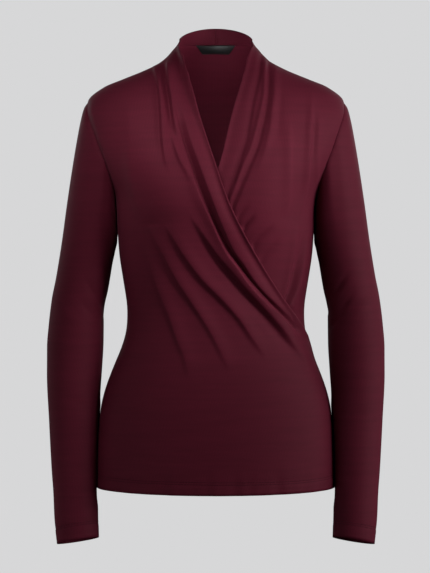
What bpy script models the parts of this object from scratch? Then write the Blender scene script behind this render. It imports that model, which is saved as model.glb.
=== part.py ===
# Long sleeve wrap top in jersey, filled out as it is worn, and hollow.
# It hangs from the shoulders: +Z is up, the front faces -Y, and +X is the wearer's left.
# The origin is midway between the two shoulder seams at the neck.
# Sizes are in millimetres until a mesh is made.

import math

import bmesh
import bpy
import numpy as np


def table(names, *rows):
    """Rows of numbers, kept as one array for each named column."""
    return dict(zip(names.split(), np.array(rows, float).T))


MM = 0.001
FRONT, BACK = -1, 1  # the two sides of the form, by the sign of y
WALL = 1.2  # thickness of the cloth walls
SEAM_GAP = 0.3  # clear space between two pieces that are sewn together
ARMHOLE_GAP = 1.2  # the same between the outer faces at an armhole, where the walls meet at an angle
NECK_GAP = 0.8  # the same at the neck seam, where the walls lean towards each other
LAYER_GAP = 1.5  # clear space between the two crossed fronts
LAYER_STEP = WALL + LAYER_GAP

HEM = -615.0  # height of the hem at the side seams
HEM_DIP = 7.0  # how much lower the hem hangs at the centre
SHOULDER_TIP = -78.0
UNDERARM = -215.0
ARMHOLE_INSET = 0.062  # how far the armhole cuts in, as a share of the half width
NECK_SEAM = 1.0  # height of the neck seam at the shoulder
NECK_SEAM_RISE = 5.7  # how much higher it is at the centre back
COLLAR_SIDE = 8.0  # height of the collar's top edge at the side of the neck
COLLAR_RISE = 21.3  # how much higher that edge is at the centre back

# Grid counts. The pieces that meet at a seam share its count.
ARMHOLE_STEPS = 9
SIDE_STEPS = 26
WRAP_STEP = 13  # the side seam step where the crossing edges end
UNDERLAY_STEP = 16  # the side seam step where the lower front ends
OVER_COLUMNS = 38
UNDER_COLUMNS = 24
SHOULDER_STEPS = 7
BACK_NECK_STEPS = 8
SLEEVE_RINGS = 25
COLLAR_ROWS = 2
LABEL_ROWS = 2
LABEL_COLUMNS = 8
EVENING_ROUNDS = 600  # passes that even out the cells of a panel's grid
EVENING_STEP = 0.6  # the share of each wanted move that a pass makes
SIDE_LENGTH = UNDERARM - HEM
WRAP_END = UNDERARM - SIDE_LENGTH * WRAP_STEP / SIDE_STEPS

# Horizontal sections of the outside of the filled garment, from the neck down
SECTIONS = table(
    "height half_width front back squareness",
    (35, 45.5, 45, 54, 2.0),
    (14, 48.5, 47, 57, 2.0),
    (4, 52, 49, 59, 2.0),
    (-10, 62.5, 52, 66, 2.05),
    (-19, 70.5, 55, 71, 2.1),
    (-27, 81, 58, 75, 2.1),
    (-36, 99.5, 61, 80, 2.15),
    (-49, 131.5, 66, 87, 2.2),
    (-60, 157.5, 71, 92, 2.3),
    (-78, 178.5, 79, 99, 2.5),
    (-100, 183, 87, 104, 2.75),
    (-130, 177, 95, 108, 2.95),
    (-160, 165.5, 100, 109, 2.95),
    (-190, 150, 103, 107, 2.7),
    (-215, 139, 104, 104, 2.5),
    (-250, 137.5, 101, 100, 2.35),
    (-290, 135, 94, 95, 2.25),
    (-330, 129, 88, 90, 2.2),
    (-372, 123.5, 84, 86, 2.15),
    (-395, 124.5, 84, 87, 2.15),
    (-420, 131, 86, 92, 2.15),
    (-450, 143.5, 90, 100, 2.15),
    (-490, 157.5, 94, 110, 2.15),
    (-514, 162, 96, 113, 2.15),
    (-540, 164.5, 97, 115, 2.15),
    (-575, 166.5, 98, 115, 2.15),
    (-640, 168, 98, 110, 2.15),
)

# Small steps in turn and height that find the slope of the form
TURN_NUDGE = 0.004
HEIGHT_NUDGE = 1.0

# Fullness over the bust
CUP_RISE = 24.0
CUP_APART = 72.0
CUP_HEIGHT = -228.0
CUP_WIDTH = 46.0
CUP_ABOVE = 72.0
CUP_BELOW = 52.0

# Crossing edges of the two fronts, seen from the front, as (x, height) from the neck down
OVER_EDGE = (
    (-50, 8),
    (-43.5, -21),
    (-36, -52),
    (-21.5, -108),
    (-4, -161),
    (17, -218),
    (43.5, -272),
    (69.5, -320),
    (96.5, -365),
)
UNDER_EDGE = (
    (50, 8),
    (43.5, -21),
    (36, -52),
    (20, -110),
    (4, -174),
    (-24, -228),
    (-60, -290),
    (-92, -348),
    (-113, -382),
)

# How far each crossing edge stands off the body, and how wide that swell is
OVER_LIFT = 5.0
OVER_LIFT_WIDTH = 62.0
UNDER_LIFT = 3.4
UNDER_LIFT_WIDTH = 52.0

# Soft troughs and ridges of the draped fronts, seen from the front.
# Each row is a path of (x, height) points, a half width, and the rise at each point.
OVER_FOLDS = (
    (((-86, -30), (-78, -82), (-71, -152), (-45, -218)), 8, (-3.0, -3.4, -2.2, 0)),
    (((-66, -16), (-61, -75), (-51, -130), (-22, -215)), 8, (-3.4, -4.0, -2.8, 0)),
    (((-54, -17), (-45, -55), (-31, -84)), 7, (-3.0, -3.0, 0)),
    (((-52, -93), (-26, -172), (16, -274), (70, -356), (113, -401)), 9, (-0.5, -5, -6.5, -5.5, -2)),
    (((-8, -245), (40, -326), (90, -382), (128, -425)), 9, (1.0, 4.0, 3.5, 0.5)),
    (((-23, -250), (22, -321), (79, -388), (129, -446)), 10, (0, -6, -6, -1)),
    (((-68, -263), (-25, -318), (38, -392), (82, -440)), 10, (-1, -4.0, -3.2, 0)),
    (((-88, -267), (-52, -328), (-20, -383), (27, -444)), 10, (-1, -3.6, -3.2, 0)),
    (((-98, -281), (-76, -336), (-58, -390), (-37, -465)), 12, (-1, -3.0, -3.0, 0)),
    (((-48, -282), (2, -338), (62, -396), (100, -430)), 10, (0, 2.0, 2.0, 0)),
)
UNDER_FOLDS = (
    (((62, -22), (58, -75), (45, -138), (19, -220)), 7, (-1.6, -2.6, -3.4, -3.2)),
    (((74, -30), (71, -90), (58, -152), (26, -231)), 7, (-1.6, -2.6, -3.0, -3.2)),
    (((86, -45), (81, -90), (67, -152)), 7, (0.5, 1.8, 0.5)),
    (((101, -120), (101, -165), (99, -215)), 9, (0, 1.6, 0)),
    (((131, -87), (127, -150), (122, -225)), 7, (0, 2.0, 0)),
    (((94, -353), (104, -312), (113, -271)), 7, (2.0, 2.4, 0)),
    (((99, -358), (108, -322), (118, -278)), 6, (-2.4, -2.0, 0)),
)
FOLD_STEPS = 32

# The sleeve's outer and inner lines seen from the front, and its depth down its length
SLEEVE_OUTER = table(
    "height x",
    (-78, 179),
    (-86, 184),
    (-104, 189),
    (-135, 195),
    (-171, 201),
    (-221, 208.5),
    (-272, 215.5),
    (-322, 223.5),
    (-356, 230),
    (-389, 234),
    (-423, 236.5),
    (-456, 236.5),
    (-524, 233),
    (-591, 228.8),
    (-625, 226),
    (-658, 224.2),
    (-694, 220),
)
SLEEVE_INNER = table(
    "height x",
    (-215, 136.5),
    (-245, 134),
    (-262, 135),
    (-275, 137.5),
    (-290, 140.8),
    (-305, 144.5),
    (-339, 150.5),
    (-372, 156.8),
    (-415, 157.3),
    (-456, 159.6),
    (-490, 161.5),
    (-514, 160.5),
    (-545, 160.5),
    (-590, 162.5),
    (-640, 163.5),
    (-686, 162.2),
)
SLEEVE_DEPTHS = table(
    "share half_depth middle",
    (0.0, 55, 0),
    (0.18, 50, 3),
    (0.35, 45, 6),
    (0.55, 42, 4),
    (0.72, 36, -6),
    (0.86, 31, -18),
    (1.0, 27, -32),
)
CUFF_OUTER = -694.0
CUFF_INNER = -684.5
CAP_BLEND = 0.3  # share of the sleeve's length over which the armhole's shape dies out
SLEEVE_CLEAR = 1.2  # clear space where a sleeve's inner wall lies against the body
LAYERED_FROM = 24.0  # how far in front of the side seam the body's cloth may be two layers thick

# The neck label is wide at the seam and narrow below, because its ends are folded to a mitre
LABEL_TOP = 57.0
LABEL_BOTTOM = 38.0
LABEL_DROP = 11.5
LABEL_TUCK = 1.2  # how far below the neck seam it starts
LABEL_WALL = 1.0

JERSEY_COLOUR = (0.088, 0.012, 0.022, 1.0)
LABEL_COLOUR = (0.008, 0.008, 0.009, 1.0)
CLOTH_ROUGHNESS = 0.7


def smooth(knots, values, at):
    """A smooth curve through rising knots, which never overshoots them."""
    gaps = np.diff(knots)
    slopes = np.diff(values) / gaps
    tangents = np.zeros(len(knots))
    tangents[0], tangents[-1] = slopes[0], slopes[-1]
    same_way = slopes[:-1] * slopes[1:] > 0
    mean = 2 * slopes[:-1] * slopes[1:] / np.where(same_way, slopes[:-1] + slopes[1:], 1)
    tangents[1:-1] = np.where(same_way, mean, 0)
    at = np.clip(at, knots[0], knots[-1])
    cell = np.clip(np.searchsorted(knots, at) - 1, 0, len(gaps) - 1)
    width = gaps[cell]
    t = (at - knots[cell]) / width
    return (
        values[cell] * (1 + 2 * t) * (1 - t) ** 2
        + tangents[cell] * width * t * (1 - t) ** 2
        + values[cell + 1] * t**2 * (3 - 2 * t)
        + tangents[cell + 1] * width * t**2 * (t - 1)
    )


def at_height(rows, name, height):
    """A named column read at a height, from a table whose heights go down."""
    return smooth(rows["height"][::-1], rows[name][::-1], np.asarray(height, float))


def ease(value):
    """0 below 0, 1 above 1, and smooth between."""
    value = np.clip(value, 0, 1)
    return value * value * (3 - 2 * value)


def bell(distance, width):
    return np.exp(-((distance / width) ** 2))


def dot(first, second):
    return (first * second).sum(axis=-1, keepdims=True)


def section(name, height):
    """A size of the section at a height, measured inside the cloth."""
    size = at_height(SECTIONS, name, height)
    return size if name == "squareness" else size - WALL


def form_point(turn, height, side):
    """A point on the inner face of the cloth, with no folds.

    turn runs from -1 at the right side seam to 1 at the left one, and side is FRONT or BACK.
    """
    turn, height = np.broadcast_arrays(np.asarray(turn, float), np.asarray(height, float))
    angle = turn * math.pi / 2
    sine, cosine = np.sin(angle), np.cos(angle)
    power = section("squareness", height)
    reach = (np.abs(sine) ** power + np.abs(cosine) ** power) ** (-1 / power)
    x = section("half_width", height) * reach * sine
    y = side * section("front" if side == FRONT else "back", height) * reach * cosine
    if side == FRONT:
        away = height - CUP_HEIGHT
        cups = bell(x - CUP_APART, CUP_WIDTH * math.sqrt(2)) + bell(x + CUP_APART, CUP_WIDTH * math.sqrt(2))
        tall = np.where(away > 0, CUP_ABOVE, CUP_BELOW) * math.sqrt(2)
        y = y - CUP_RISE * cups * bell(away, tall) * np.abs(cosine) ** 1.5
    return np.stack([x, y, height], axis=-1)


def form_slopes(turn, height, side):
    """How a point of the form moves as its turn grows, and as its height grows."""
    by_turn = form_point(turn + TURN_NUDGE, height, side) - form_point(turn - TURN_NUDGE, height, side)
    by_height = form_point(turn, height + HEIGHT_NUDGE, side) - form_point(turn, height - HEIGHT_NUDGE, side)
    return by_turn / (2 * TURN_NUDGE), by_height / (2 * HEIGHT_NUDGE)


def form_normal(turn, height, side):
    """The outward direction at a point of the form."""
    normal = np.cross(*form_slopes(turn, height, side)) * -side
    return normal / np.linalg.norm(normal, axis=-1, keepdims=True)


def turn_at(share, height):
    """The turn at which the section reaches this share of its half width."""
    share = np.clip(share, -1, 1)
    power = section("squareness", height)
    depth = np.clip(1 - np.abs(share) ** power, 0, 1) ** (1 / power)
    return np.arctan2(share, depth) / (math.pi / 2)


def border(turns, heights):
    """A line of (turn, height) along the edge of a panel."""
    return np.stack(np.broadcast_arrays(np.asarray(turns, float), heights), axis=-1)


def mirrored(line):
    return line * np.array([-1, 1])


def armhole():
    """Half an armhole, from the shoulder tip to the underarm."""
    angle = np.linspace(0, math.pi, ARMHOLE_STEPS + 1)
    middle, half = (SHOULDER_TIP + UNDERARM) / 2, (SHOULDER_TIP - UNDERARM) / 2
    height = middle + half * np.cos(angle)
    return border(turn_at(1 - ARMHOLE_INSET * np.sin(angle) ** 2, height), height)


def side_seam(first, last):
    """The side seam, from one of its steps to another."""
    return border(1, UNDERARM - SIDE_LENGTH * np.arange(first, last + 1) / SIDE_STEPS)


def armhole_and_side(last):
    return np.concatenate([armhole()[:-1], side_seam(0, last)])


def hem_line(columns):
    turns = np.linspace(-1, 1, columns + 1)
    return border(turns, HEM - HEM_DIP * np.cos(turns * math.pi / 2))


def along(points, steps):
    """Points at even distances along a smooth line through a few given ones."""
    points = np.array(points, float)
    lengths = np.concatenate([[0], np.cumsum(np.linalg.norm(np.diff(points, axis=0), axis=1))])
    at = np.linspace(0, lengths[-1], steps + 1)
    return np.stack([smooth(lengths, points[:, i], at) for i in range(points.shape[1])], axis=-1)


def crossing_edge(edge, far_turn, steps):
    """A front's crossing edge, from the neck to where it meets the far side seam."""
    far = (far_turn * float(section("half_width", WRAP_END)), WRAP_END)
    x, height = along([*edge, far], steps).T
    turns = turn_at(x / section("half_width", height), height)
    turns[0], turns[-1] = -far_turn, far_turn
    return border(turns, height)


def slide(places, move, side):
    """The change of (turn, height) that follows a move as closely as the form allows."""
    by_turn, by_height = form_slopes(places[..., 0], places[..., 1], side)
    turn_size, height_size, both = dot(by_turn, by_turn), dot(by_height, by_height), dot(by_turn, by_height)
    turn_move, height_move = dot(by_turn, move), dot(by_height, move)
    change = (height_size * turn_move - both * height_move, turn_size * height_move - both * turn_move)
    return np.concatenate(change, axis=-1) / (turn_size * height_size - both**2)


def even_out(grid, side):
    """Slide the inner points of a patch over the form until its cells are even and none is folded."""
    inner = grid[1:-1, 1:-1]
    for _ in range(EVENING_ROUNDS):
        points = form_point(grid[..., 0], grid[..., 1], side)
        across = (points[1:-1, 2:] - points[1:-1, :-2]) / 2
        down = (points[2:, 1:-1] - points[:-2, 1:-1]) / 2
        twist = (points[2:, 2:] - points[2:, :-2] - points[:-2, 2:] + points[:-2, :-2]) / 4
        width, tall = dot(across, across), dot(down, down)
        wanted = (
            tall * (points[1:-1, 2:] + points[1:-1, :-2])
            + width * (points[2:, 1:-1] + points[:-2, 1:-1])
            - 2 * dot(across, down) * twist
        ) / (2 * (width + tall))
        inner += EVENING_STEP * slide(inner, wanted - points[1:-1, 1:-1], side)
    return grid


def patch(top, bottom, left, right, side):
    """A grid of (turn, height) that fills four border lines on one side of the form."""
    u = np.linspace(0, 1, len(top))[None, :, None]
    v = np.linspace(0, 1, len(left))[:, None, None]
    sides = (1 - v) * top[None] + v * bottom[None] + (1 - u) * left[:, None] + u * right[:, None]
    upper = (1 - u) * top[0] + u * top[-1]
    lower = (1 - u) * bottom[0] + u * bottom[-1]
    return even_out(sides - (1 - v) * upper - v * lower, side)


def fold_rise(folds, x, height):
    """The sum of the soft troughs and ridges at points seen from the front."""
    total = np.zeros_like(x)
    for path, width, rise in folds:
        line = along([(*point, level) for point, level in zip(path, rise)], FOLD_STEPS)
        gaps = np.hypot(x[..., None] - line[:, 0], height[..., None] - line[:, 1])
        total += line[gaps.argmin(axis=-1), 2] * bell(gaps.min(axis=-1), width)
    return total


def past_edge(edge, x, height):
    """How far a point lies past a crossing edge towards +X, seen from the front."""
    line = along(edge, 2 * FOLD_STEPS)
    line = line[np.argsort(line[:, 1])]
    edge_x = np.interp(height, line[:, 1], line[:, 0])
    lean = np.interp(height, line[:, 1], np.gradient(line[:, 0], line[:, 1]))
    return (x - edge_x) / np.sqrt(1 + lean**2)


def tucked_left(turn, height):
    """1 where both fronts are sewn into the left side seam below the wrap, and 0 away from it."""
    return ease((turn - 0.62) / 0.26) * ease((WRAP_END - height) / 30)


def tucked_right(turn):
    """1 at the right side seam, where the lower front lies flat inside the upper one."""
    return 1 - ease((turn + 1) / 0.35)


def drape(edge, lift, lift_width, folds, turn, height):
    """How far a front's swell and folds stand off the form."""
    x = form_point(turn, height, FRONT)[..., 0]
    swell = lift * bell(past_edge(edge, x, height), lift_width)
    return np.maximum(swell + fold_rise(folds, x, height), 0)


def over_offset(turn, height, u, v):
    """How far the upper front stands off the form."""
    sewn = ease(u / 0.1 + ease((UNDERARM - height) / 60)) * ease(v / 0.1)
    layered = LAYER_STEP * (1 - tucked_left(turn, height)) * (1 - tucked_right(turn))
    draped = drape(OVER_EDGE, OVER_LIFT, OVER_LIFT_WIDTH, OVER_FOLDS, turn, height)
    return (layered + draped * ease((1 - turn) / 0.25) * ease(u / 0.12)) * sewn


def under_offset(turn, height, u, v):
    """How far the lower front stands off the form. It lies flat where the upper one covers it."""
    x = form_point(turn, height, FRONT)[..., 0]
    shown = ease(past_edge(OVER_EDGE, x, height) / 10)
    draped = drape(UNDER_EDGE, UNDER_LIFT, UNDER_LIFT_WIDTH, UNDER_FOLDS, turn, height)
    tucked = np.maximum(tucked_right(turn), tucked_left(turn, height))
    return draped * shown * ease((1 - u) / 0.12) * ease(v / 0.05) - LAYER_STEP * tucked


def material(name, colour):
    """A plain shader with one colour."""
    made = bpy.data.materials.new(name)
    made.use_nodes = True
    shader = made.node_tree.nodes["Principled BSDF"]
    shader.inputs["Base Color"].default_value = colour
    shader.inputs["Roughness"].default_value = CLOTH_ROUGHNESS
    shader.inputs["Metallic"].default_value = 0.0
    return made


def cloth(name, points, outward, wall=WALL, grow=1.0, closed=False, colour=JERSEY_COLOUR):
    """A wall of cloth: a grid bent through the points, rows down and columns across.

    Its thickness grows outwards from the points, or inwards where grow is -1.
    """
    rows, columns = points.shape[0] - 1, points.shape[1] - 1
    grid = bmesh.new()
    bmesh.ops.create_grid(grid, x_segments=columns, y_segments=rows, size=1)
    for vert in grid.verts:
        down = round((1 - vert.co.y) / 2 * rows)
        across = round((1 + vert.co.x) / 2 * columns)
        vert.co = points[down, across] * MM
    if closed:
        bmesh.ops.remove_doubles(grid, verts=grid.verts, dist=0.01 * MM)
    if not outward:
        bmesh.ops.reverse_faces(grid, faces=grid.faces)
    mesh = bpy.data.meshes.new(name)
    grid.to_mesh(mesh)
    grid.free()
    mesh.shade_smooth()
    mesh.materials.append(material(name + "_cloth", colour))
    made = bpy.data.objects.new(name, mesh)
    garment.objects.link(made)
    thicken = made.modifiers.new("wall", "SOLIDIFY")
    thicken.thickness = wall * MM
    thicken.offset = grow
    thicken.use_quality_normals = True
    return made


def front_panel(name, grid, offset):
    """A front made from a grid of (turn, height), stood off the form by its layer and folds."""
    turn, height = grid[..., 0], grid[..., 1]
    u = np.linspace(0, 1, grid.shape[1])[None, :]
    v = np.linspace(0, 1, grid.shape[0])[:, None]
    points = form_point(turn, height, FRONT)
    points += form_normal(turn, height, FRONT) * offset(turn, height, u, v)[..., None]
    points[..., 1] -= SEAM_GAP / 2
    return cloth(name, points, outward=True)


def make_front_right():
    """The wearer's right front, which lies on top and reaches the left side seam."""
    left = mirrored(armhole_and_side(SIDE_STEPS))
    edge = crossing_edge(OVER_EDGE, 1, ARMHOLE_STEPS + WRAP_STEP)
    right = np.concatenate([edge[:-1], side_seam(WRAP_STEP, SIDE_STEPS)])
    top = border(-1, np.linspace(SHOULDER_TIP, COLLAR_SIDE, OVER_COLUMNS + 1))
    grid = patch(top, hem_line(OVER_COLUMNS), left, right, FRONT)
    return front_panel("front_right", grid, over_offset)


def make_front_left():
    """The wearer's left front, which lies below and ends inside the other one at the waist."""
    right = armhole_and_side(UNDERLAY_STEP)
    edge = crossing_edge(UNDER_EDGE, -1, ARMHOLE_STEPS + WRAP_STEP)
    left = np.concatenate([edge[:-1], mirrored(side_seam(WRAP_STEP, UNDERLAY_STEP))])
    top = border(1, np.linspace(COLLAR_SIDE, SHOULDER_TIP, UNDER_COLUMNS + 1))
    bottom = border(np.linspace(-1, 1, UNDER_COLUMNS + 1), right[-1, 1])
    grid = patch(top, bottom, left, right, FRONT)
    return front_panel("front_left", grid, under_offset)


def neck_seam(turn):
    """Height of the seam between the back and the collar."""
    return NECK_SEAM + NECK_SEAM_RISE * np.cos(turn * math.pi / 2)


def collar_top(turn):
    """Height of the collar's upper edge."""
    return COLLAR_SIDE + COLLAR_RISE * np.cos(turn * math.pi / 2)


def make_back():
    """The back, from the hem to the shoulder seams and the neck seam."""
    shoulder = border(1, np.linspace(SHOULDER_TIP, NECK_SEAM, SHOULDER_STEPS + 1)[:-1])
    turns = np.linspace(-1, 1, 2 * BACK_NECK_STEPS + 1)
    top = np.concatenate([mirrored(shoulder), border(turns, neck_seam(turns) - NECK_GAP), shoulder[::-1]])
    left = armhole_and_side(SIDE_STEPS)
    grid = patch(top, hem_line(len(top) - 1), mirrored(left), left, BACK)
    points = form_point(grid[..., 0], grid[..., 1], BACK)
    points[..., 1] += SEAM_GAP / 2
    return cloth("back", points, outward=False)


def make_collar(name, side):
    """Half of the stand round the back of the neck, cut in one with a front and seamed at the centre back."""
    turns = side * np.linspace(1, 0, BACK_NECK_STEPS + 1)
    share = np.linspace(1, 0, COLLAR_ROWS + 1)[:, None]
    heights = neck_seam(turns) * (1 - share) + collar_top(turns) * share
    points = form_point(turns, heights, BACK)
    points[..., 1] += SEAM_GAP / 2
    points[:, -1, 0] = side * SEAM_GAP / 2
    return cloth(name, points, outward=side > 0)


def armhole_ring():
    """Where a left sleeve is sewn in, from the shoulder tip round by the front."""
    turn, height = armhole().T
    front, back = (form_point(turn, height, side) + form_normal(turn, height, side) * WALL for side in (FRONT, BACK))
    ring = np.concatenate([front, back[::-1][1:]])
    ring[[0, ARMHOLE_STEPS, -1], 1] = 0
    ring[:, 0] += ARMHOLE_GAP
    return ring


def clear_of_body(rings):
    """A left sleeve's points, kept outside the body's side, which its inner wall lies against."""
    x, y, height = np.moveaxis(rings, -1, 0)
    depth = np.where(y < 0, section("front", height), section("back", height)) + WALL
    power = section("squareness", height)
    reach = np.clip(1 - np.abs(y / depth) ** power, 0, 1) ** (1 / power)
    body = (section("half_width", height) + WALL) * reach
    clear = SLEEVE_CLEAR + LAYER_STEP * ease(-y / LAYERED_FROM)
    return np.stack([np.maximum(x, body + clear), y, height], axis=-1)


def make_sleeve(name, side):
    """A sleeve of rings square to the arm, which starts in the armhole's shape."""
    angle = np.linspace(0, 2 * math.pi, 2 * ARMHOLE_STEPS + 1)
    share = np.linspace(0, 1, SLEEVE_RINGS + 1)[:, None]
    outer_height = SHOULDER_TIP + (CUFF_OUTER - SHOULDER_TIP) * share
    below_outer = (UNDERARM - SHOULDER_TIP) * (1 - share) ** 2.2 + (CUFF_INNER - CUFF_OUTER) * share**4
    inner_height = outer_height + below_outer
    outer_x = at_height(SLEEVE_OUTER, "x", outer_height)
    inner_x = at_height(SLEEVE_INNER, "x", inner_height)
    half_depth = smooth(SLEEVE_DEPTHS["share"], SLEEVE_DEPTHS["half_depth"], share)
    middle = smooth(SLEEVE_DEPTHS["share"], SLEEVE_DEPTHS["middle"], share)
    centre = (outer_height + inner_height) / 2
    lean = np.gradient(middle[:, 0])[:, None] / np.gradient(centre[:, 0])[:, None]
    forward = half_depth * np.sin(angle)
    x = (outer_x + inner_x) / 2 + (outer_x - inner_x) / 2 * np.cos(angle)
    height = centre - below_outer / 2 * np.cos(angle) + forward * lean
    rings = np.stack([x, middle - forward, height], axis=-1)
    rings += (armhole_ring() - rings[0]) * (1 - ease(share / CAP_BLEND))[..., None]
    rings[1:] = clear_of_body(rings[1:])
    return cloth(name, rings * np.array([side, 1, 1]), outward=side < 0, grow=-1.0, closed=True)


def make_label():
    """A plain label below the neck seam, a little clear of the back's inner face."""
    across = np.linspace(-0.5, 0.5, LABEL_COLUMNS + 1)
    down = np.linspace(0, 1, LABEL_ROWS + 1)[:, None]
    x = across * (LABEL_TOP + (LABEL_BOTTOM - LABEL_TOP) * down)
    seam_turn = turn_at(across * LABEL_TOP / section("half_width", NECK_SEAM), NECK_SEAM)
    height = neck_seam(seam_turn) - LABEL_TUCK - LABEL_DROP * down
    turn = turn_at(x / section("half_width", height), height)
    points = form_point(turn, height, BACK) - form_normal(turn, height, BACK) * SEAM_GAP
    return cloth("label", points, outward=False, wall=LABEL_WALL, grow=-1.0, colour=LABEL_COLOUR)


for old in list(bpy.data.objects):
    bpy.data.objects.remove(old)
garment = bpy.data.collections.new("long_sleeve_wrap_top")
bpy.context.scene.collection.children.link(garment)

make_front_right()
make_front_left()
make_back()
make_collar("collar_left", 1)
make_collar("collar_right", -1)
make_sleeve("sleeve_left", 1)
make_sleeve("sleeve_right", -1)
make_label()
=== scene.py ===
# Long sleeve wrap top in burgundy stretch jersey, filled out as it is worn, and hollow.
# Every piece of cloth is rebuilt on the form of its CAD solid at a finer step, with its drape.
# Sizes are in millimetres until a mesh is made.

import math

import bpy
import numpy as np
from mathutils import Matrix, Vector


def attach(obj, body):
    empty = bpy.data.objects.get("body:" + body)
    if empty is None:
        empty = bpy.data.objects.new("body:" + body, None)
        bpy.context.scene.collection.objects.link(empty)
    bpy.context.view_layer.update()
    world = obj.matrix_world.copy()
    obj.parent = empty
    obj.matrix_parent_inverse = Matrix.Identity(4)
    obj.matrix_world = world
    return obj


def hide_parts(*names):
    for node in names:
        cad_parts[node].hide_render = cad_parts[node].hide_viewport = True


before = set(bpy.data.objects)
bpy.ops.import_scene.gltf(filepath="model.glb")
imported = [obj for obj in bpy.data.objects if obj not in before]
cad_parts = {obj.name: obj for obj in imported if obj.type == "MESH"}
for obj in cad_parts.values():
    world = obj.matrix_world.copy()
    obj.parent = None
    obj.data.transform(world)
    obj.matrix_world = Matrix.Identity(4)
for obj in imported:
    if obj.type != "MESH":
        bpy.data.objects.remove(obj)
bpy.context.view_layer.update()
print("frame loaded with", len(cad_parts), "nodes")

mm = 0.001
front, back = -1, 1  # the two sides of the form, by the sign of y
garmentCollection = bpy.data.collections.new("dressed_top")
bpy.context.scene.collection.children.link(garmentCollection)


# Curves and small helpers

def smoothCurve(knots, values, at):
    # passes through rising knots and never overshoots them
    knots, values = np.asarray(knots, float), np.asarray(values, float)
    spread = (-1,) + (1,) * (values.ndim - 1)
    gaps = np.diff(knots)
    slopes = np.diff(values, axis=0) / gaps.reshape(spread)
    tangents = np.zeros_like(values)
    tangents[0], tangents[-1] = slopes[0], slopes[-1]
    sameWay = slopes[:-1] * slopes[1:] > 0
    mean = 2 * slopes[:-1] * slopes[1:] / np.where(sameWay, slopes[:-1] + slopes[1:], 1)
    tangents[1:-1] = np.where(sameWay, mean, 0)
    at = np.clip(at, knots[0], knots[-1])
    cell = np.clip(np.searchsorted(knots, at) - 1, 0, len(gaps) - 1)
    shape = at.shape + (1,) * (values.ndim - 1)
    width = gaps[cell].reshape(shape)
    t = ((at - knots[cell]) / gaps[cell]).reshape(shape)
    return (values[cell] * (1 + 2 * t) * (1 - t) ** 2 + tangents[cell] * width * t * (1 - t) ** 2
            + values[cell + 1] * t**2 * (3 - 2 * t) + tangents[cell + 1] * width * t**2 * (t - 1))


def ease(value):
    value = np.clip(value, 0, 1)
    return value * value * (3 - 2 * value)


def bell(distance, width):
    return np.exp(-((distance / width) ** 2))


def softMaximum(value, lowest, sharpness=2.0):
    # like max(value, lowest), with a rounded turn
    return lowest + np.logaddexp(0, (value - lowest) * sharpness) / sharpness


def dot(first, second):
    return (first * second).sum(axis=-1, keepdims=True)


def unit(vectors):
    return vectors / np.linalg.norm(vectors, axis=-1, keepdims=True)


def along(points, steps):
    # points at even distances on a smooth line through a few given ones
    points = np.array(points, float)
    lengths = np.concatenate([[0], np.cumsum(np.linalg.norm(np.diff(points, axis=0), axis=1))])
    return smoothCurve(lengths, points, np.linspace(0, lengths[-1], steps + 1))


def refine(grid, times):
    # the same grid with more rows and columns, by a smooth curve through each of them
    for axis in (0, 1):
        grid = np.moveaxis(grid, axis, 0)
        steps = len(grid) - 1
        grid = smoothCurve(np.arange(steps + 1.0), grid, np.linspace(0, steps, steps * times[axis] + 1))
        grid = np.moveaxis(grid, 0, axis)
    return grid


def waves(value, *terms):
    # a sum of sines, each given as length, height and shift
    return sum(high * np.sin(2 * math.pi * value / length + shift) for length, high, shift in terms)


# The form that the garment fills, with the same sections as the CAD

form = {
    "wall": 1.2,
    "hem": -615.0,
    "hemDip": 7.0,
    "shoulderTip": -78.0,
    "underarm": -215.0,
    "armholeInset": 0.062,
    "neckSeam": 1.0,
    "neckSeamRise": 5.7,
    "collarSide": 8.0,
    "collarRise": 21.3,
    "armholeSteps": 9,
    "sideSteps": 26,
    "wrapStep": 13,  # where the crossing edges meet the side seams
    "underlayStep": 16,  # where the lower front ends
    "sections": [  # height, half width, front, back, squareness
        (35, 45.5, 45, 54, 2.0),
        (14, 48.5, 47, 57, 2.0),
        (4, 52, 49, 59, 2.0),
        (-10, 62.5, 52, 66, 2.05),
        (-19, 70.5, 55, 71, 2.1),
        (-27, 81, 58, 75, 2.1),
        (-36, 99.5, 61, 80, 2.15),
        (-49, 131.5, 66, 87, 2.2),
        (-60, 157.5, 71, 92, 2.3),
        (-78, 178.5, 79, 99, 2.5),
        (-100, 183, 87, 104, 2.75),
        (-130, 177, 95, 108, 2.95),
        (-160, 165.5, 100, 109, 2.95),
        (-190, 150, 103, 107, 2.7),
        (-215, 139, 104, 104, 2.5),
        (-250, 137.5, 101, 100, 2.35),
        (-290, 135, 94, 95, 2.25),
        (-330, 129, 88, 90, 2.2),
        (-372, 123.5, 84, 86, 2.15),
        (-395, 124.5, 84, 87, 2.15),
        (-420, 131, 86, 92, 2.15),
        (-450, 143.5, 90, 100, 2.15),
        (-490, 157.5, 94, 110, 2.15),
        (-514, 162, 96, 113, 2.15),
        (-540, 164.5, 97, 115, 2.15),
        (-575, 166.5, 98, 115, 2.15),
        (-640, 168, 98, 110, 2.15),
    ],
    "evenedBelow": -90,  # the sections are smoothed along the body from here down
    "evenedOver": 40,  # height over which the smoothing sets in
    "evenedBy": 24,  # how far the smoothing reaches, in levels
    "levelStep": 0.5,
    "cup": {"rise": 24, "apart": 72, "height": -228, "width": 46, "above": 72, "below": 52, "fade": 1.5},
}
sideLength = form["underarm"] - form["hem"]
wrapEnd = form["underarm"] - sideLength * form["wrapStep"] / form["sideSteps"]

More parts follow.
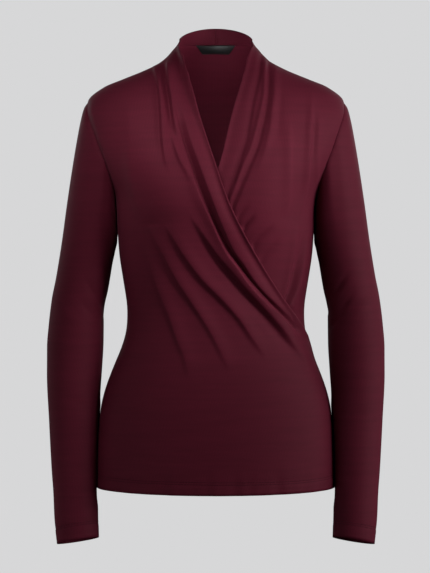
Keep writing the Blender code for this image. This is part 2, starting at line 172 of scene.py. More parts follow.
sectionRows = np.array(form["sections"], float)[::-1]
levels = np.arange(sectionRows[0, 0], sectionRows[-1, 0] + form["levelStep"], form["levelStep"])
sizes = smoothCurve(sectionRows[:, 0], sectionRows[:, 1:], levels)
blurReach = 2 * form["evenedBy"]
blur = bell(np.arange(-blurReach, blurReach + 1), form["evenedBy"])
padded = np.pad(sizes, ((blurReach, blurReach), (0, 0)), mode="reflect", reflect_type="odd")
blurred = np.stack([np.convolve(column, blur / blur.sum(), mode="valid") for column in padded.T], axis=-1)
share = ease((form["evenedBelow"] - levels) / form["evenedOver"])[:, None]
sizes = sizes * (1 - share) + blurred * share
sizes[:, :3] -= form["wall"]  # all is measured inside the cloth


def section(name, height):
    column = ("halfWidth", "front", "back", "squareness").index(name)
    return np.interp(height, levels, sizes[:, column])


def formPoint(turn, height, side):
    # turn runs from -1 at the right side seam to 1 at the left one
    turn, height = np.broadcast_arrays(np.asarray(turn, float), np.asarray(height, float))
    sine, cosine = np.sin(turn * math.pi / 2), np.cos(turn * math.pi / 2)
    power = section("squareness", height)
    reach = (np.abs(sine) ** power + np.abs(cosine) ** power) ** (-1 / power)
    x = section("halfWidth", height) * reach * sine
    y = side * section("front" if side == front else "back", height) * reach * cosine
    if side == front:
        cup = form["cup"]
        away = height - cup["height"]
        wide = cup["width"] * math.sqrt(2)
        cups = bell(x - cup["apart"], wide) + bell(x + cup["apart"], wide)
        tall = np.where(away > 0, cup["above"], cup["below"]) * math.sqrt(2)
        y = y - cup["rise"] * cups * bell(away, tall) * np.abs(cosine) ** cup["fade"]
    return np.stack([x, y, height], axis=-1)


def formSlopes(turn, height, side, turnStep=0.004, heightStep=1):
    byTurn = formPoint(turn + turnStep, height, side) - formPoint(turn - turnStep, height, side)
    byHeight = formPoint(turn, height + heightStep, side) - formPoint(turn, height - heightStep, side)
    return byTurn / (2 * turnStep), byHeight / (2 * heightStep)


def formNormal(turn, height, side):
    return unit(np.cross(*formSlopes(turn, height, side)) * -side)


def offForm(turn, height, side, distance):
    # points at this distance outside the form
    return formPoint(turn, height, side) + formNormal(turn, height, side) * np.asarray(distance)[..., None]


def turnAt(portion, height):
    # the turn at which the section reaches this portion of its half width
    portion = np.clip(portion, -1, 1)
    power = section("squareness", height)
    depth = np.clip(1 - np.abs(portion) ** power, 0, 1) ** (1 / power)
    return np.arctan2(portion, depth) / (math.pi / 2)


def border(turns, heights):
    return np.stack(np.broadcast_arrays(np.asarray(turns, float), heights), axis=-1)


def mirrored(line):
    return line * np.array([-1, 1])


def armhole():
    angle = np.linspace(0, math.pi, form["armholeSteps"] + 1)
    middle = (form["shoulderTip"] + form["underarm"]) / 2
    height = middle + (form["shoulderTip"] - form["underarm"]) / 2 * np.cos(angle)
    return border(turnAt(1 - form["armholeInset"] * np.sin(angle) ** 2, height), height)


def sideSeam(first, last):
    return border(1, form["underarm"] - sideLength * np.arange(first, last + 1) / form["sideSteps"])


def armholeAndSide(last):
    return np.concatenate([armhole()[:-1], sideSeam(0, last)])


def hemLine(columns):
    turns = np.linspace(-1, 1, columns + 1)
    return border(turns, form["hem"] - form["hemDip"] * np.cos(turns * math.pi / 2))


def neckSeam(turn):
    return form["neckSeam"] + form["neckSeamRise"] * np.cos(turn * math.pi / 2)


def collarTop(turn):
    return form["collarSide"] + form["collarRise"] * np.cos(turn * math.pi / 2)


def crossingEdge(edge, farTurn):
    # from the neck down to where the front meets the far side seam
    steps = form["armholeSteps"] + form["wrapStep"]
    far = (farTurn * float(section("halfWidth", wrapEnd)), wrapEnd)
    x, height = along([*edge, far], steps).T
    turns = turnAt(x / section("halfWidth", height), height)
    turns[0], turns[-1] = -farTurn, farTurn
    return border(turns, height)


def slide(places, move, side):
    # the change of (turn, height) that follows a move as closely as the form allows
    byTurn, byHeight = formSlopes(places[..., 0], places[..., 1], side)
    turnSize, heightSize, both = dot(byTurn, byTurn), dot(byHeight, byHeight), dot(byTurn, byHeight)
    turnMove, heightMove = dot(byTurn, move), dot(byHeight, move)
    change = (heightSize * turnMove - both * heightMove, turnSize * heightMove - both * turnMove)
    return np.concatenate(change, axis=-1) / (turnSize * heightSize - both**2)


def evenOut(grid, side, rounds=600, pace=0.6):
    # slides the inner points over the form until the cells are even and none is folded
    inner = grid[1:-1, 1:-1]
    for _ in range(rounds):
        points = formPoint(grid[..., 0], grid[..., 1], side)
        east, west, south, north = points[1:-1, 2:], points[1:-1, :-2], points[2:, 1:-1], points[:-2, 1:-1]
        across, down = (east - west) / 2, (south - north) / 2
        twist = (points[2:, 2:] - points[2:, :-2] - points[:-2, 2:] + points[:-2, :-2]) / 4
        width, tall = dot(across, across), dot(down, down)
        wanted = tall * (east + west) + width * (south + north) - 2 * dot(across, down) * twist
        inner += pace * slide(inner, wanted / (2 * (width + tall)) - points[1:-1, 1:-1], side)
    return grid


def patch(top, bottom, left, right, side):
    u = np.linspace(0, 1, len(top))[None, :, None]
    v = np.linspace(0, 1, len(left))[:, None, None]
    sides = (1 - v) * top[None] + v * bottom[None] + (1 - u) * left[:, None] + u * right[:, None]
    upper = (1 - u) * top[0] + u * top[-1]
    lower = (1 - u) * bottom[0] + u * bottom[-1]
    return evenOut(sides - (1 - v) * upper - v * lower, side)


def fineGrid(top, bottom, left, right, side, finer):
    # the turn and height of each point of a piece, and how far across and down the piece it is
    grid = refine(patch(top, bottom, left, right, side), finer)
    across, down = (np.linspace(0, 1, grid.shape[axis]) for axis in (1, 0))
    return grid[..., 0], grid[..., 1], across[None, :], down[:, None]


# The photograph's camera. The folds' paths are (x, height) as it sees them on the plane through
# the middle of the garment.

view = {"x": -1.1, "distance": 3400.0, "height": -337.0}


def seenFromFront(points):
    nearer = view["distance"] / (view["distance"] + points[..., 1])
    return (view["x"] + (points[..., 0] - view["x"]) * nearer,
            view["height"] + (points[..., 2] - view["height"]) * nearer)


# Each fold has a path of (x, height, rise), and its width on the right-hand side of the path,
# towards -X, and on the left-hand side, towards +X.

def foldRise(folds, x, height, steps=80, endFade=4):
    total = np.zeros_like(x)
    places = np.stack([x, height], axis=-1)
    for path, towardsRight, towardsLeft in folds:
        line = along(path, steps)
        route, level = line[:, :2], line[:, 2]
        way = unit(np.gradient(route, axis=0))
        spacing = np.linalg.norm(np.diff(route, axis=0), axis=1).max()
        reach = 3 * max(towardsRight, towardsLeft) + 2 * spacing
        above, below = places > route.min(axis=0) - reach, places < route.max(axis=0) + reach
        near = (above & below).all(axis=-1)
        gaps = places[near][:, None] - route
        nearest = (gaps**2).sum(axis=-1).argmin(axis=-1)
        gap, onward = gaps[np.arange(len(nearest)), nearest], way[nearest]
        past = np.clip(np.abs((gap * onward).sum(axis=-1)) - spacing, 0, None)
        leftward = gap[:, 1] * onward[:, 0] - gap[:, 0] * onward[:, 1]
        width = towardsRight + (towardsLeft - towardsRight) * (0.5 + 0.5 * np.tanh(leftward))
        total[near] += level[nearest] * bell(leftward, width) * bell(past, endFade)
    return total


def pastEdge(edge, x, height, steps=96):
    # how far a point lies past a crossing edge towards +X, seen from the front
    far = math.copysign(float(section("halfWidth", wrapEnd)), -edge[0][0])
    line = along([*edge, (far, wrapEnd)], steps)
    line = line[np.argsort(line[:, 1])]
    edgeX = np.interp(height, line[:, 1], line[:, 0])
    lean = np.interp(height, line[:, 1], np.gradient(line[:, 0], line[:, 1]))
    return (x - edgeX) / np.sqrt(1 + lean**2)


# Meshes

def lengthsAlong(points, axis):
    # how far each point of a grid is from the first one of its column (0) or row (1)
    steps = np.linalg.norm(np.diff(points, axis=axis), axis=-1)
    return np.insert(np.cumsum(steps, axis=axis), 0, 0, axis=axis)


def distanceDown(points):
    # how far each point of a grid is above its last row, measured down its column
    return lengthsAlong(points[::-1], 0)[::-1]


def lineAbove(points, distance):
    # a line across a grid of points, this far above its last row
    rising, lengths = points[::-1], lengthsAlong(points[::-1], 0)
    return np.array([[np.interp(distance, lengths[:, c], rising[:, c, i]) for i in range(3)]
                     for c in range(points.shape[1])])


def cellCorners(grid):
    return np.stack([grid[:-1, :-1], grid[1:, :-1], grid[1:, 1:], grid[:-1, 1:]], axis=2)


def clothShell(name, outer, material, wall=form["wall"], outward=True, closed=False):
    # a wall of cloth whose outer face is a grid of points, rows down and columns across
    rows, columns = outer.shape[:2]
    number = np.arange(rows * columns).reshape(rows, columns)
    if closed:
        number[:, -1] = number[:, 0]
    turned = 1 if outward else -1
    quads = cellCorners(number).reshape(-1, 4)[:, ::turned]
    u = lengthsAlong(outer, 1)
    u -= u[:, columns // 2, None]
    corners = cellCorners(np.stack([u, lengthsAlong(outer, 0)], axis=-1)).reshape(-1, 4, 2)[:, ::turned]
    used = np.unique(quads)
    places = np.full(rows * columns, -1)
    places[used] = np.arange(len(used))
    mesh = bpy.data.meshes.new(name)
    mesh.from_pydata((outer.reshape(-1, 3)[used] * mm).tolist(), [], places[quads].tolist())
    mesh.uv_layers.new(name="cloth").data.foreach_set("uv", (corners * mm).ravel())
    mesh.shade_smooth()
    mesh.materials.append(material)
    made = bpy.data.objects.new(name, mesh)
    garmentCollection.objects.link(made)
    thicken = made.modifiers.new("wall", "SOLIDIFY")
    thicken.thickness = wall * mm
    thicken.offset = -1
    thicken.use_quality_normals = True
    return applied(made)


def applied(made):
    # the object with its modifiers made real
    graph = bpy.context.evaluated_depsgraph_get()
    finished = bpy.data.meshes.new_from_object(made.evaluated_get(graph))
    made.modifiers.clear()
    made.data = finished
    return made


# Shaders

def toLinear(hexColour):
    # sRGB hex to the linear values that a shader takes
    parts = [int(hexColour[i:i + 2], 16) / 255 for i in (0, 2, 4)]
    return tuple(p / 12.92 if p <= 0.04045 else ((p + 0.055) / 1.055) ** 2.4 for p in parts) + (1.0,)


def addNode(tree, kind, links=None, **settings):
    # links and plain values are given by socket name or number, and settings by attribute
    node = tree.nodes.new(kind)
    for key, value in settings.items():
        setattr(node, key, value)
    for socket, value in (links or {}).items():
        if isinstance(value, bpy.types.NodeSocket):
            tree.links.new(value, node.inputs[socket])
        else:
            node.inputs[socket].default_value = value
    return node


def newMaterial(name):
    material = bpy.data.materials.new(name)
    material.use_nodes = True
    material.node_tree.nodes.clear()
    return material, material.node_tree


# Viscose and elastane single jersey, piece dyed: matt, with a soft bloom where it turns away
jersey = {
    "colour": "702035",
    "shade": "541726",  # the little darker colour between the yarns
    "roughness": 0.7,
    "specular": 0.1,
    "sheen": 0.05,
    "sheenColour": "c9788c",
    "wale": 1.1,  # width of a column of stitches, mm: drawn coarser than the real 0.7
    "course": 0.9,  # height of a stitch, mm: drawn coarser than the real 0.55
    "knitDepth": 0.05,
    "slub": 14.0,  # size of the soft unevenness in the cloth, mm
    "streak": (0.2, 0.2, 2.6),  # which draws it out into level streaks
}


def makeJersey(name):
    material, tree = newMaterial(name)
    coordinates = addNode(tree, "ShaderNodeTexCoord")
    scaled = addNode(tree, "ShaderNodeMapping", {
        "Vector": coordinates.outputs["UV"],
        "Scale": (0.5 / (jersey["wale"] * mm), 0.5 / (jersey["course"] * mm), 1)})
    columns = addNode(tree, "ShaderNodeTexWave", {
        "Vector": scaled.outputs["Vector"], "Scale": 0.32, "Distortion": 0.6, "Detail": 1.0,
        "Detail Scale": 2.0}, wave_type="BANDS", bands_direction="X", wave_profile="SIN")
    loops = addNode(tree, "ShaderNodeTexVoronoi", {
        "Vector": scaled.outputs["Vector"], "Scale": 2.0, "Randomness": 0.35})
    knit = addNode(tree, "ShaderNodeMix", {
        "Factor": 0.45, "A": columns.outputs["Fac"], "B": loops.outputs["Distance"]}, data_type="FLOAT")
    stretched = addNode(tree, "ShaderNodeMapping", {
        "Vector": coordinates.outputs["Object"], "Scale": jersey["streak"]})
    slub = addNode(tree, "ShaderNodeTexNoise", {
        "Vector": stretched.outputs["Vector"], "Scale": 1 / (jersey["slub"] * mm), "Detail": 3.0,
        "Roughness": 0.55})
    blend = addNode(tree, "ShaderNodeMath", {
        0: knit.outputs["Result"], 1: slub.outputs["Fac"]}, operation="MULTIPLY")
    colour = addNode(tree, "ShaderNodeMix", {
        "Factor": blend.outputs["Value"], "A": toLinear(jersey["shade"]), "B": toLinear(jersey["colour"])},
        data_type="RGBA")
    bump = addNode(tree, "ShaderNodeBump", {
        "Height": knit.outputs["Result"], "Strength": 0.25, "Distance": jersey["knitDepth"] * mm})
    shader = addNode(tree, "ShaderNodeBsdfPrincipled", {
        "Base Color": colour.outputs["Result"], "Roughness": jersey["roughness"],
        "Sheen Weight": jersey["sheen"], "Sheen Roughness": 0.45,
        "Sheen Tint": toLinear(jersey["sheenColour"]), "Specular IOR Level": jersey["specular"],
        "Normal": bump.outputs["Normal"]})
    addNode(tree, "ShaderNodeOutputMaterial", {"Surface": shader.outputs["BSDF"]})
    return material


# Damask woven polyester tape: smooth, with a faint satin gloss across fine ribs
labelTape = {
    "colour": "0b0b0d",
    "roughness": 0.5,
    "specular": 0.5,
    "sheen": 0.1,
    "follows": "UV",
    "bands": 375.0,  # ribs 0.8 mm apart
    "unevenness": 0.2,
    "across": "Y",
}

# Spun polyester thread dyed to match, as matt as the cloth; its colour is drawn darker than the cloth as
# painted shade along the stitched rows, so that the rows show
thread = {
    # painted shade: darker than the thread's own colour, which matches the cloth
    "colour": "3a0c19",
    "roughness": 0.8,
    "specular": 0.15,
    "sheen": 0.0,
    "follows": "Object",
    "bands": 900.0,  # the twist of its plies, 0.35 mm apart
    "unevenness": 0.0,
    "across": "DIAGONAL",
}


def makeRibbed(name, finish):
    # one colour over fine raised bands
    material, tree = newMaterial(name)
    coordinates = addNode(tree, "ShaderNodeTexCoord")
    ribs = addNode(tree, "ShaderNodeTexWave", {
        "Vector": coordinates.outputs[finish["follows"]], "Scale": finish["bands"],
        "Distortion": finish["unevenness"]}, wave_type="BANDS", bands_direction=finish["across"])
    bump = addNode(tree, "ShaderNodeBump", {
        "Height": ribs.outputs["Fac"], "Strength": 0.3, "Distance": 0.05 * mm})
    shader = addNode(tree, "ShaderNodeBsdfPrincipled", {
        "Base Color": toLinear(finish["colour"]), "Roughness": finish["roughness"],
        "Specular IOR Level": finish["specular"], "Sheen Weight": finish["sheen"],
        "Normal": bump.outputs["Normal"]})
    addNode(tree, "ShaderNodeOutputMaterial", {"Surface": shader.outputs["BSDF"]})
    return material


jerseyCloth = makeJersey("burgundy_viscose_jersey")
labelCloth = makeRibbed("black_woven_label_tape", labelTape)
# the thread's darker colour is painted shade along the stitched rows
threadCover = makeRibbed("polyester_thread_painted_darker", thread)
print("cloth materials ready")


# What the two crossing fronts share

crossing = {
    "liftWidth": 36,  # the swell that follows each edge
    "rollWidth": 2.2,  # the edge's own roll, and how far inside the edge it is highest
    "rollInside": 1,
    "hollowWidth": 4,  # the slight hollow behind the roll
    "hollowInside": 7,
    "edgeFade": 25,  # all three fade out over this height above the end of the edge
    "leftFade": 0.16,  # and the drape over this much turn before the left side seam
    "topFade": 0.03,  # and over this share of the length below the top
    # where the lower front is tucked in at the left side: from this turn, over this much, over this height
    "tuckLeft": (0.62, 0.26, 30),
    "tuckRight": 0.35,
}


def tuckedLeft(turn, height):
    start, over, run = crossing["tuckLeft"]
    return ease((turn - start) / over) * ease((wrapEnd - height) / run)


def tuckedRight(turn):
    return 1 - ease((turn + 1) / crossing["tuckRight"])


# The wearer's right front, which lies on top

overFront = {
    "columns": 38,
    "finer": (4, 7),  # more rows and columns than the CAD grid
    "edge": [(-50, 8), (-43.5, -21), (-36, -52), (-21.5, -108), (-4, -161), (17, -218), (43.5, -272),
             (69.5, -320), (96.5, -365)],
    "layer": 2.7,  # how far it lies off the form where the lower front is below it
    "lift": 2.6,
    "liftInside": 3,  # how far inside the edge the swell is highest
    "roll": 1.6,
    "hollow": -0.8,
    "lowest": -5.4,  # the deepest that a fold goes
    "side": 1,  # its cloth lies on this side of its edge, towards -X
    "sideFade": 0.1,  # its drape fades over this share of its width at the right side
    "sewnRun": 60,  # but not below the underarm, from this far down
    "layerFade": 0.08,  # it leaves the form over this share of its length below the shoulder
    "hemFade": 0.1,  # the hem's waves fade over this much turn before a side seam
    "folds": [
        # the roll of cloth along the neck edge, and the soft hollow outside it
        ([(-50, -6, 2), (-44, -23, 2.8), (-40, -44, 2.8), (-35, -66, 2.4), (-29, -86, 2),
          (-24, -104, 1.4), (-18, -121, 0.8), (-11, -140, 0)], 4.5, 6),
        ([(-54, -13, -1.2), (-50, -34, -2.2), (-45, -54, -2.4), (-40, -70, -1.8), (-35, -87, -1),
          (-29, -104, 0)], 5, 3.5),
        # two pleats that start in the shoulder seam, steep on their outer side, and a short one below
        ([(-85, -34, 2), (-78, -63, 3.8), (-75, -98, 4.4), (-73, -133, 4), (-70, -157, 2.4),
          (-67, -175, 0)], 2.8, 9),
        ([(-89, -34, -0.8), (-82, -63, -1.4), (-80, -98, -1.6), (-78, -133, -1.2),
          (-75, -157, 0)], 6, 2.4),
        ([(-66, -30, 3.6), (-64, -55, 5.6), (-60, -81, 5.8), (-58, -102, 5), (-55, -118, 3),
          (-52, -132, 0)], 3, 8),
        ([(-72, -30, -1.4), (-70, -55, -2.4), (-66, -81, -2.4), (-63, -102, -1.6),
          (-61, -118, 0)], 5, 2.6),
        ([(-62, -122, 0), (-57, -140, 2.8), (-51, -158, 3.6), (-42, -175, 2.8), (-34, -190, 0)], 2.8, 6),
        # the deep fold that runs beside the crossing edge down to the side
        ([(-56, -87, -1.5), (-45.5, -129, -3.4), (-35, -160, -4.6), (-24, -191, -5.2), (-9.5, -228, -5.2),
          (3, -258, -5.2), (17, -286, -5.2), (31, -305, -5), (46, -328, -5), (63, -349, -4.8),
          (88, -373, -4), (109, -395, -2.4), (118, -404, 0)], 1.8, 3.8),
        ([(-47, -87, 0.8), (-36, -129, 3.4), (-25.5, -160, 5), (-14, -191, 5.6), (1, -228, 5.6),
          (14, -258, 5.4), (27, -286, 5), (40, -305, 4.6), (54, -328, 4.2), (71, -349, 3.6),
          (95, -373, 2.6), (115, -395, 1)], 3.6, 14),
        # its sharp crest
        ([(-42, -160, 0), (-32, -188, 1.8), (-22, -213, 3), (-8, -242, 3.8), (7, -270, 4), (24, -298, 4),
          (40, -320, 4), (58, -343, 3.8), (76, -364, 3.2), (96, -388, 2), (112, -413, 0)], 9, 1.8),
        # the long fold below it
        ([(-36, -235, 0), (-15, -265, 2.4), (4, -292, 4), (23, -314, 4.6), (42, -338, 4.8),
          (62, -361, 4.8), (80, -382, 4.8), (98, -404, 4.2), (118, -429, 2.8), (133, -446, 0.6)], 4, 11),
        ([(-41, -239, 0), (-20, -270, -1.4), (-1, -296, -2.4), (18, -319, -2.8), (37, -342, -3),
          (57, -365, -3), (75, -386, -3), (93, -408, -2.4), (113, -433, 0)], 8, 3),
        # three softer ridges across the waist
        ([(-69, -251, 0), (-57, -270, 3), (-39, -298, 4.6), (-18, -326, 5.2), (9, -354, 5.2),
          (33, -382, 4.6), (52, -410, 3), (72, -436, 0)], 4.4, 14),
        ([(-93, -251, 0), (-83, -271, 2.4), (-68, -299, 3.7), (-53, -327, 4.2), (-35, -355, 4.2),
          (-17, -383, 3.7), (-1, -411, 2.8), (13, -439, 1.4), (22, -455, 0)], 4.6, 13),
        ([(-99, -278, 0), (-93, -299, 1.7), (-84, -327, 2.8), (-73, -355, 3.3), (-62, -383, 3.4),
          (-53, -411, 3), (-42, -439, 2), (-37, -467, 0)], 5, 14),
        # where the bust turns to the side
        ([(-121, -50, 0), (-119, -93, 2.4), (-117, -132, 4.4), (-115, -167, 5.8), (-110, -202, 6),
          (-104, -225, 4), (-98, -250, 0)], 13, 55),
    ],
    "flat": (0.50, 0.66),
    "cutArea": 0.19,
}

underFront = {
    "columns": 24,
    "finer": (5, 7),
    "edge": [(50, 8), (43.5, -21), (36, -52), (20, -110), (4, -174), (-24, -228), (-60, -290), (-92, -348),
             (-113, -382)],
    "lift": 2.0,
    "liftInside": 10,
    "roll": 0.8,
    "hollow": -0.5,
    "layer": 0.0,
    "lowest": -4.5,
    "side": -1,
    "sideFade": 0.12,
    "shownOver": 6,  # its own drape sets in over this distance about the other front's edge
    "shownAtEdge": 0.6,
    "spare": 1.0,  # how deep the other front's folds go before they press on it
    "folds": [
        # the two folds that come down from the shoulder to the crossing edge
        ([(62, -17, -1), (60, -41, -1.8), (56, -59, -2), (52, -76, -2), (49, -94, -2), (46, -111, -2.2),
          (43, -132, -2.6), (37, -149, -3), (32, -167, -3.2), (26, -185, -3.4), (19, -202, -3.6),
          (14, -216, -3.6)], 5, 3.2),
        ([(68, -28, 1.2), (68, -48, 1.8), (68, -65, 2), (65, -83, 2), (60, -104, 2), (56, -121, 2.2),
          (51, -139, 2.2), (46, -153, 2.2), (40, -167, 2.2), (34, -182, 2), (28, -199, 1.8),
          (21, -216, 1.4)], 3.5, 3.5),
        ([(74, -26, -1), (74, -48, -1.8), (73, -65, -2), (71, -83, -2), (68, -102, -2.2),
          (64, -119, -2.6), (60, -136, -2.8), (55, -150, -3), (49, -164, -3), (43, -178, -3.2),
          (37, -192, -3.4), (32, -205, -3.6), (25, -220, -3.8), (20, -233, -3.8)], 4, 3.2),
        ([(83, -37, 1.2), (82, -69, 2.2), (79, -90, 2.4), (77, -111, 2.4), (73, -129, 2.2),
          (69, -146, 1.7), (63, -163, 1), (56, -180, 0)], 4, 6),
        # the swell of the bust, and soft upright ridges between the neck and the armhole
        ([(80, -60, 0), (82, -100, 1.6), (86, -140, 3), (90, -180, 3.6), (92, -210, 2.6),
          (94, -240, 0)], 40, 50),
        ([(91, -55, 0), (90, -83, -0.8), (88, -111, -0.8), (85, -139, 0)], 5, 5),
        ([(102, -101, 0), (102, -125, 1.8), (102, -146, 2.6), (101, -174, 2.6), (100, -209, 2),
          (97, -237, 0)], 8, 4),
        ([(134, -73, 0.5), (133, -97, 2), (131, -118, 2.7), (130, -139, 2.8), (128, -160, 2.8),
          (126, -181, 2.6), (123, -202, 2.2), (119, -223, 1.6), (116, -244, 0.5)], 5, 3.6),
        ([(139, -93, 0), (138, -118, -1.1), (136, -146, -1.1), (134, -171, 0)], 3, 3),
        ([(144, -93, 0), (144, -118, 1.1), (142, -146, 1.2), (141, -174, 1.1), (140, -202, 0)], 3, 3),
        # short creases that the crossing edge pulls
        ([(48, -221, 0), (39, -230, -1.8), (31, -241, -2.4)], 2.4, 3.4),
        ([(56, -238, 0), (49, -245, -2.4), (42, -252, -4), (37, -259, -4.2)], 2.8, 3.6),
        ([(83, -252, 0), (73, -261, -1.8), (63, -270, -3.2), (53, -280, -3.8), (48, -286, -3.8)], 4, 5),
        ([(91, -269, 0), (79, -284, -1.4), (66, -298, -2.2), (60, -306, -2.2)], 5, 5),
        # the fold at the side, above the place where the edges meet
        ([(124, -258, 0), (120, -279, -1.4), (116, -297, -2.8), (112, -314, -3.8), (108, -331, -4.4),
          (104, -343, -4.5), (98, -356, -4.5), (94, -364, -4.5)], 4, 4),
        ([(115, -247, 0), (112, -265, 1.2), (109, -286, 1.8), (105, -307, 2), (101, -328, 2),
          (97, -350, 1.8)], 5, 3),
        ([(131, -247, 0.5), (127, -275, 1.6), (123, -300, 3), (118, -322, 3.8), (112, -343, 4.2),
          (104, -362, 3.8)], 3.4, 9),
    ],
    "flat": (0.36, 0.50),
    "cutArea": 0.112,
}


def drape(piece, turn, height):
    past = pastEdge(piece["edge"], formPoint(turn, height, front)[..., 0], height) * piece["side"]
    swell = piece["lift"] * bell(past + piece["liftInside"], crossing["liftWidth"])
    roll = piece["roll"] * bell(past + crossing["rollInside"], crossing["rollWidth"])
    hollow = piece["hollow"] * bell(past + crossing["hollowInside"], crossing["hollowWidth"])
    shell = offForm(turn, height, front, form["wall"] + piece["layer"])
    folds = foldRise(piece["folds"], *seenFromFront(shell))
    edges = (swell + (roll + hollow)) * ease((height - wrapEnd) / crossing["edgeFade"])
    return softMaximum(edges + folds, piece["lowest"])


hemBand = {
    "depth": 17.0,  # from the edge to the middle of the stitching
    "proud": 0.5,  # the turned hem is two layers thick
    "step": 2.5,  # where the second layer ends
    "pull": 0.55,  # how far the stitching pulls the cloth in
    "pullWidth": 1.8,
    "ripple": [(31, 0.28, 0.4), (19, 0.2, 2.1), (53, 0.4, 1.2)],  # length, height, shift
    "rippleReach": 46,
}


def hemRise(toHem, across):
    # the thickness of the turned hem, the line that its stitching pulls in, and its slight waves
    band = hemBand
    near = 1 - ease((toHem - band["depth"] + 1) / band["step"])
    ripple = waves(across, *band["ripple"]) * ease(1 - toHem / band["rippleReach"])
    return band["proud"] * near - band["pull"] * bell(toHem - band["depth"], band["pullWidth"]) + ripple


def makeOverFront():
    piece = overFront
    left = mirrored(armholeAndSide(form["sideSteps"]))
    edge = crossingEdge(piece["edge"], 1)
    right = np.concatenate([edge[:-1], sideSeam(form["wrapStep"], form["sideSteps"])])
    top = border(-1, np.linspace(form["shoulderTip"], form["collarSide"], piece["columns"] + 1))
    turn, height, u, v = fineGrid(top, hemLine(piece["columns"]), left, right, front, piece["finer"])
    sewn = ease(u / piece["sideFade"] + ease((form["underarm"] - height) / piece["sewnRun"]))
    untucked = (1 - tuckedLeft(turn, height)) * (1 - tuckedRight(turn))
    layered = piece["layer"] * untucked * ease(v / piece["layerFade"])
    draped = drape(piece, turn, height) * ease((1 - turn) / crossing["leftFade"])
    draped = draped * ease(u / piece["sideFade"]) * ease(v / crossing["topFade"])
    points = formPoint(turn, height, front)
    hem = hemRise(distanceDown(points), points[..., 0]) * ease((1 - np.abs(turn)) / piece["hemFade"])
    return offForm(turn, height, front, (layered + draped) * sewn + form["wall"] + hem)


def makeUnderFront():
    piece = underFront
    right = armholeAndSide(form["underlayStep"])
    edge = crossingEdge(piece["edge"], -1)
    left = np.concatenate([edge[:-1], mirrored(sideSeam(form["wrapStep"], form["underlayStep"]))])
    top = border(1, np.linspace(form["collarSide"], form["shoulderTip"], piece["columns"] + 1))
    bottom = border(np.linspace(-1, 1, piece["columns"] + 1), right[-1, 1])
    turn, height, u, v = fineGrid(top, bottom, left, right, front, piece["finer"])
    past = pastEdge(overFront["edge"], formPoint(turn, height, front)[..., 0], height)
    shown = ease(past / piece["shownOver"] + piece["shownAtEdge"])
    tucked = np.maximum(tuckedRight(turn), tuckedLeft(turn, height))
    pressed = -softMaximum(-piece["spare"] - drape(overFront, turn, height), 0)
    pressed = pressed * ease((1 - turn) / crossing["leftFade"])
    draped = drape(piece, turn, height) * ease(v / crossing["topFade"])
    offset = (draped * shown + pressed * (1 - shown)) * ease((1 - u) / piece["sideFade"])
    return offForm(turn, height, front, offset - overFront["layer"] * tucked + form["wall"])


overPoints = makeOverFront()
underPoints = makeUnderFront()
frontRight = clothShell("top_front_right", overPoints, jerseyCloth)
frontLeft = clothShell("top_front_left", underPoints, jerseyCloth)
print("fronts ready")


# The back, with soft folds of the kind that the front shows

backPanel = {
    "shoulderSteps": 7,
    "neckSteps": 8,
    "finer": (5, 6),
    "sideFade": 0.12,
    "rippleShift": 17,  # so that the hem's waves differ from those in front
    "folds": [
        # small of the back, where the cloth gathers a little above the hips
        ([(-96, -330, 0), (-62, -352, 1.8), (-24, -362, 2.0), (12, -358, 0)], 7, 9),
        ([(98, -318, 0), (66, -338, 1.8), (30, -350, 1.6), (-8, -352, 0)], 9, 7),
        ([(-104, -362, 0), (-70, -384, 1.6), (-34, -392, 1.8), (6, -388, 0)], 8, 8),
        ([(104, -356, 0), (74, -376, 1.5), (40, -384, 0)], 8, 8),
        # from the underarms towards the waist
        ([(-128, -236, 0), (-104, -270, 1.8), (-78, -306, 0)], 9, 7),
        ([(126, -232, 0), (108, -262, 1.8), (84, -300, 0)], 7, 9),
        # between the shoulder blades
        ([(-62, -96, 0), (-56, -150, 1.2), (-58, -205, 0)], 14, 14),
        ([(64, -90, 0), (60, -148, 1.2), (62, -200, 0)], 14, 14),
    ],
    "flat": (0.50, 0.66),
    "cutArea": 0.252,
}


def makeBack():
    piece = backPanel
    shoulder = border(1, np.linspace(form["shoulderTip"], form["neckSeam"], piece["shoulderSteps"] + 1)[:-1])
    turns = np.linspace(-1, 1, 2 * piece["neckSteps"] + 1)
    top = np.concatenate([mirrored(shoulder), border(turns, neckSeam(turns)), shoulder[::-1]])
    left = armholeAndSide(form["sideSteps"])
    turn, height, *_ = fineGrid(top, hemLine(len(top) - 1), mirrored(left), left, back, piece["finer"])
    points = formPoint(turn, height, back)
    hem = hemRise(distanceDown(points), points[..., 0] + piece["rippleShift"])
    folds = foldRise(piece["folds"], points[..., 0], height)
    free = ease((1 - np.abs(turn)) / piece["sideFade"])
    return offForm(turn, height, back, (folds + hem) * free + form["wall"])


backPoints = makeBack()
backShell = clothShell("top_back", backPoints, jerseyCloth, outward=False)
print("back ready")


# The stand round the back of the neck, in two halves seamed at the centre back

collar = {
    "columns": 60,
    "rows": 16,
    "height": 28,
    "seamPull": 0.7,  # how far the seams at the centre back and the neck draw the cloth in
    "seamWidth": 2.5,
    "roll": 1.2,  # how far the upper edge leans out
    "wave": (0.5, 9),  # the stand's slight waviness: height, and turns to a wave
    "flat": (0.06, 0.03),
    "cutArea": 0.0016,
}


def makeCollar(side):
    piece = collar
    turns = side * np.linspace(1, 0, piece["columns"] + 1)
    share = np.linspace(1, 0, piece["rows"] + 1)[:, None]
    heights = neckSeam(turns) * (1 - share) + collarTop(turns) * share
    fromCentre = np.abs(formPoint(turns, heights, back)[..., 0])
    seams = bell(fromCentre, piece["seamWidth"]) + bell(share * piece["height"], piece["seamWidth"])
    high, often = piece["wave"]
    wave = high * np.sin(turns * often) * share * (1 - share)
    offset = form["wall"] - piece["seamPull"] * seams + piece["roll"] * share**4 + wave
    return offForm(turns, heights, back, offset)


